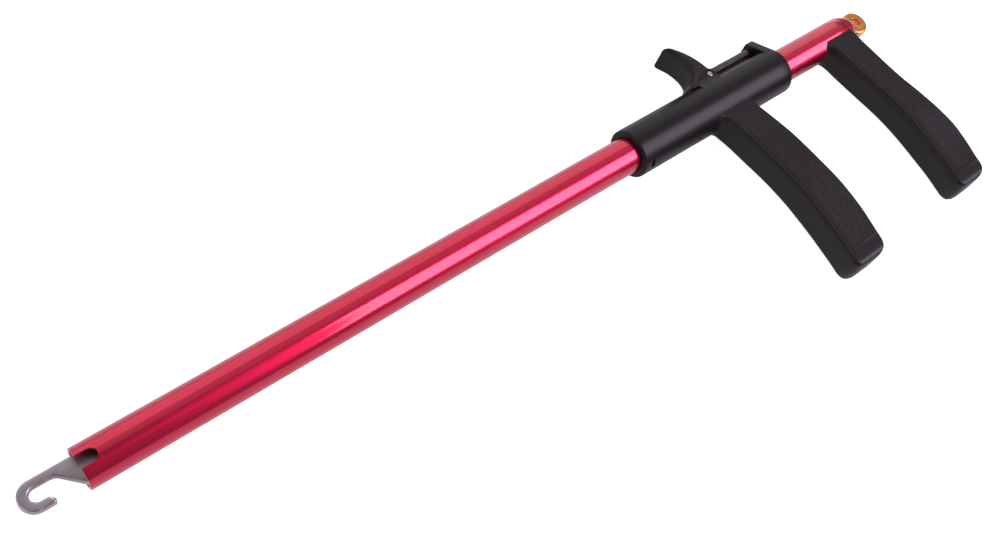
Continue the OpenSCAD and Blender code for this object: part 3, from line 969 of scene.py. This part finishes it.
def make_grip(waist, tip, front_points, back_points, root_r):
    rings = []
    for y, row in grip_stations(tip):
        past_tip = tip - y
        front = waist + through(front_points, y) + rounding(toe_r, toe_r + past_tip)
        back = waist + through(back_points, y) - rounding(toe_back_r, toe_back_r + past_tip)
        half = grip_half - rounding(toe_side_r, toe_side_r + past_tip)
        rings.append(whole_ring(grip_half_section(y, tip, front, back, half, row), y))
    first = rings[0]
    root = []
    for i in range(root_rings):
        lift = 1 - i / root_rings
        ring = []
        for place in first:
            hug = -sqrt(root_r ** 2 - min(abs(place.z), root_r - 0.5) ** 2)
            flare = -root_flare * lift ** 2.2 if place.x < waist else 0
            ring.append(Vector((place.x + flare, place.y + (hug - place.y) * lift, place.z)))
        root.append(ring)
    bm = wrapped(root + rings)
    cap = max((f for f in bm.faces if len(f.verts) > 4), key=lambda f: f.calc_center_median().y)
    middle = bmesh.ops.poke(bm, faces=[cap])["verts"][0]
    middle.co.y = -root_r
    return bm


# %% Front and rear grips
front_fingers = [
    (-9, -4.1), (-15, -3.0), (-24, -2.0), (-34, -1.0), (-44, -0.8), (-50, -1.15), (-57, -1.75),
    (-65, -2.75), (-73, -4.0), (-80, -5.6),
]
rear_fingers = [
    (-9, -2.3), (-15, -1.9), (-24, -1.0), (-34, 0.0), (-42, 0.2), (-50, -0.3), (-58, -1.2),
    (-65, -2.1), (-73, -3.8), (-80, -5.6),
]
front_back = [
    (-9, 11.8), (-19, 14.1), (-26.5, 15.5), (-40, 16.6), (-51, 16.9), (-62, 15.8), (-70, 14.1),
    (-80, 11.8),
]
rear_back = [
    (-8, 11.9), (-17, 12.6), (-29, 13.7), (-38, 15.3), (-47, 16.5), (-56, 16.7), (-64, 15.2),
    (-72, 12.9), (-80, 11.0),
]

finish_piece(
    "front_grip_visual", make_grip(front_waist, grip_tip, front_fingers, front_back, sleeve_r - 0.15),
    grip_plastic, "slider", ["front_grip"],
)
finish_piece(
    "rear_grip_visual", make_grip(rear_waist, rear_tip, rear_fingers, rear_back, tube_r - 0.05),
    grip_plastic, "barrel", ["rear_grip"],
)

# %% [markdown]
# ## Slider sleeve
#
# The sleeve is moulded round a core, so its body is a turned shape with a rounded front rim. Two
# lugs rise from it and their flanks sweep down into the round body. An ear at the rear backs up
# the lever's spring, and a flat channel runs between them.

# %% Slider sleeve
channel_x = pin_x + 2.2
channel_y = 7.4
ear_x = sleeve_high.x - 3.5
ear_top = sleeve_high.y
ear_half = 2.5
lug_in = 4.3
lug_out = 6.0
lug_crown_r = 2.4
flank_touch = 62
pocket_x = pin_x - 11.2
pocket_end = pin_x + 3.2
spring_y = 11.4


def lug_outline(gap):
    """Side outline of a lug, grown by a gap."""
    brow = arc((pin_x, pin_y), lug_crown_r + gap, 0, 110, 14)
    front = [(-5.6 - gap, 10.2 + gap), (-8.2 - gap, 7.6 + gap), (-8.2 - gap, 3)]
    return [(pin_x + lug_crown_r + gap, 3)] + brow + [(pin_x + x, y) for x, y in front]


def make_lug(side):
    touch = radians(flank_touch)
    along = Vector((sin(touch), -cos(touch)))
    foot = Vector((cos(touch), sin(touch))) * (sleeve_r - 0.01)
    knee = foot - along * ((foot.y - lug_out) / along.y)
    bend = [knee.lerp(foot, t) for t in (0.25, 0.5, 0.75, 1)]
    sweep = [(knee.x + 1.2, lug_out), (knee.x + 0.5, lug_out + 0.06)] + [tuple(p) for p in bend]
    flank = [(14, lug_in - 0.2), (14, lug_out)] + sweep + [(3, lug_in - 0.2)]
    flank = [(y, z * side) for y, z in flank]
    outline = plate(lug_outline(0), min(2 * side, 9 * side), max(2 * side, 9 * side))
    return combine(outline, plate(flank, pin_x - 12, pin_x + 4, across="X"), "INTERSECT")


def make_ear():
    touch_r = sleeve_r - 0.02
    flank = atan2(ear_half, ear_top) + acos(touch_r / sqrt(ear_top ** 2 + ear_half ** 2))
    touch = (touch_r * cos(flank), touch_r * sin(flank))
    outline = [
        (0, 0), touch, (ear_top, ear_half), (ear_top, -ear_half), (touch[0], -touch[1])
    ]
    bm = plate(outline, ear_x, sleeve_high.x, across="X")
    soften(bm, 0.6, 4, 40, lambda e: min(v.co.y for v in e.verts) > ear_top - 0.1
           and abs(e.verts[0].co.x - e.verts[1].co.x) > 1)
    return soften(bm, 0.3, 3, 60, lambda e: abs(e.verts[0].co.x - e.verts[1].co.x) < 0.1)


def make_sleeve():
    start, end = sleeve_low.x, sleeve_high.x
    bore = tube_r + 0.08
    rim = 0.9
    profile = [(start + 0.15, bore), (start, bore + 0.15)]
    profile += arc((start + rim, sleeve_r - rim), rim, 180, 90, 7)
    profile += [(end - 0.35, sleeve_r), (end - 0.1, sleeve_r - 0.1), (end, sleeve_r - 0.35), (end, bore)]
    bm = turned([(x, r, 0) for x, r in profile], steps=160)
    slices(bm, [start + 2.5, start + 6.5, start + 20, pin_x - 12, pin_x - 9, pin_x + 4, ear_x - 1])
    bm = combine(bm, block((channel_x, channel_y, -10), (ear_x, 14, 10)))
    bm = combine(bm, make_ear(), "UNION")
    # A thin rib along the channel floor under the spring fills the gap below it with dark plastic; it
    # stands in for the shadow line there, as painted shade.
    bm = combine(bm, block((channel_x + 0.6, channel_y - 0.3, -0.6), (ear_x + 0.3, 9.9, 0.6)), "UNION")
    for side in (1, -1):
        bm = combine(bm, make_lug(side), "UNION")
    bm = combine(bm, rod(bore - 0.004, (start - 1, 0, 0), (end + 1, 0, 0), 160))
    bm = combine(bm, block((pocket_x, 0, -lug_in), (pocket_end, 20, lug_in)))
    bm = combine(bm, rod(pin_r + 0.14, (pin_x, pin_y, -8), (pin_x, pin_y, 8), 48))
    slot = arc((key_x, 0.95), 0.9, 0, 180, 10) + arc((key_x, -0.95), 0.9, 180, 360, 10)
    bm = combine(bm, at_key_angle(plate(slot, -12, 12)))
    return combine(bm, rod(0.6, (ear_x - 1, spring_y, 0), (ear_x + 2, spring_y, 0), 24))


finish_piece(
    "slider_sleeve_visual", make_sleeve(), sleeve_plastic, "slider",
    ["slider_sleeve"], crease=28,
)

# %% [markdown]
# ## Thumb lever
#
# The lever is hollow in front for the thumb and bowed behind. Its front edges are well rounded,
# since the thumb presses there. The base is cut to clear the sleeve and to drop between the lugs.

# %% Thumb lever
lever_high = box_mm("thumb_lever")[1]
lever_half = lever_high.z
lever_top = lever_high.y
pad_c = (pin_x - 21, 17.6)
pad_r = 15.7
lever_back_c = (pin_x - 23.5, 8)
lever_back_r = 25
toe_x = pin_x - 10.8
lever_base = tube_r + 0.45
tip_r = 2.0
tip_edge_r = 0.55
web_x = pin_x - 10.2
web_half = lug_in - 0.2
hub_r = 2.1
heel_x = pin_x - 1
heel_floor = 7.5
shoe_x = pin_x - 5.8
shoe_r = 1.8
shoe_top = 9.4


def lever_section(y):
    """Half of the lever's section at a height, as (x, z) points."""
    hollow = pad_c[0] + sqrt(pad_r ** 2 - (y - pad_c[1]) ** 2)
    front = toe_x + (hollow - toe_x) * step(y, 8.0, 12.5)
    back = lever_back_c[0] + sqrt(lever_back_r ** 2 - (y - lever_back_c[1]) ** 2)
    below_top = lever_top - y
    draw = rounding(tip_edge_r, tip_edge_r - below_top)
    front, back = front + draw, back - draw
    half = lever_half - rounding(tip_r, tip_r - below_top)
    thick = back - front
    front_r = min(0.8 + 2.2 * step(y, 7.5, 13), thick * 0.5)
    back_r = min(0.7, thick * 0.3)
    face = [(front, (half - front_r) * k / 5) for k in range(5)]
    corner = arc((front + front_r, half - front_r), front_r, 180, 90, 7)
    side = [(front + front_r + (thick - front_r - back_r) * k / 5, half) for k in range(1, 5)]
    rear = arc((back - back_r, half - back_r), back_r, 90, 0, 5)
    spine = [(back, (half - back_r) * (1 - k / 4)) for k in range(1, 5)]
    return face + corner + side + rear + spine


def make_lever():
    low = lever_base - 2
    heights = [low + (lever_top - 2.1 - low) * i / 56 for i in range(57)]
    heights += [lever_top - 2.1 * (1 - sin(radians(90 * i / 14))) for i in range(1, 15)]
    bm = wrapped([whole_ring(lever_section(y), y) for y in heights])
    clearance = rod(sleeve_r + 0.55, (toe_x - 2, 0, 0), (sleeve_high.x, 0, 0), 160)
    clearance = combine(clearance, block((web_x, 0, -web_half), (web_x + 20, 18, web_half)))
    bm = combine(bm, clearance)
    for side in (1, -1):
        low, high = sorted((web_half * side, 9 * side))
        bm = combine(bm, plate(lug_outline(0.03), low, high))
    bm = combine(bm, block((toe_x - 2, -1, -9), (toe_x + 30, lever_base, 9)))
    bm = combine(bm, block((heel_x, -1, -9), (pin_x + 9, heel_floor, 9)))
    hub = rod(hub_r, (pin_x, pin_y, -web_half), (pin_x, pin_y, web_half), 48)
    bm = combine(bm, hub, "UNION")
    bm = combine(bm, rod(pin_r + 0.05, (pin_x, pin_y, -8), (pin_x, pin_y, 8), 48))
    return combine(bm, rod(shoe_r, (shoe_x, 5, 0), (shoe_x, shoe_top, 0), 48))


finish_piece(
    "thumb_lever_visual", make_lever(), lever_plastic, "lever",
    ["thumb_lever"], crease=30,
)

# %% [markdown]
# ## Pin and springs
#
# The lever's pin is bright bar with bevelled ends. Both springs are wound wire: a small circle is
# swept round the axis and moved along it a little at each step.

# %% Lever pin
pin_bm = rod(pin_r, (pin_x, pin_y, pin_low.z), (pin_x, pin_y, pin_high.z), 48)
soften(pin_bm, 0.2, 3)
finish_piece("lever_pin_visual", pin_bm, bright_steel, "slider", ["lever_pin"])


# %% Springs
def wound(start, end, axis_y, mean_r, wire, turns, steps_per_turn, sides):
    bm = bmesh.new()
    place = Matrix.Translation((start + wire / 2, axis_y + mean_r, 0))
    bmesh.ops.create_circle(bm, cap_ends=False, segments=sides, radius=wire / 2, matrix=place)
    steps = turns * steps_per_turn
    bmesh.ops.spin(
        bm, geom=bm.verts[:] + bm.edges[:], cent=(0, axis_y, 0), axis=(1, 0, 0),
        dvec=((end - start - wire) / steps, 0, 0), angle=2 * pi * turns, steps=steps,
        use_merge=False, use_duplicate=False,
    )
    bmesh.ops.holes_fill(bm, edges=bm.edges, sides=0)
    bmesh.ops.recalc_face_normals(bm, faces=bm.faces)
    return bm


lever_spring_x = box_mm("lever_spring")[0].x
finish_piece(
    "lever_spring_visual",
    wound(lever_spring_x, ear_x, spring_y, mean_r=1.32, wire=0.55, turns=42, steps_per_turn=20, sides=8),
    dark_wire, "slider", ["lever_spring"], crease=60,
)
return_low, return_high = box_mm("return_spring")
finish_piece(
    "return_spring_visual",
    wound(return_low.x, return_high.x, 0, mean_r=4.2, wire=0.9, turns=11, steps_per_turn=28, sides=10),
    spring_wire, "barrel", ["return_spring"], crease=60,
)

# %% [markdown]
# ## Parts kept from the CAD
#
# The parts inside the barrel, and a few small ones that hardly show, keep their CAD meshes. Each
# takes a finish that suits its material, except the drive key, whose dark wire finish keeps it
# dark down in its slot in the sleeve.

# %% Finishes for the kept parts
kept = {
    nylon: ["front_bush", "mid_bush"],
    turned_brass: ["spring_stop", "crosshead", "blade_holder", "brake_shoe"],
    bright_steel: [
        "stop_pins", "plug_pin", "grip_screws", "pull_rod", "guide_rod", "rod_locknuts",
        "blade_rivets", "spring_washer", "spring_guide_pin",
    ],
    # The drive key is given the dark wire finish, so that it stays dark down in its slot in the sleeve.
    dark_wire: ["drive_key"],
}
for material, names in kept.items():
    for name in names:
        for slot in nodes[name].material_slots:
            slot.material = material
print("kept parts:", sum(len(names) for names in kept.values()))
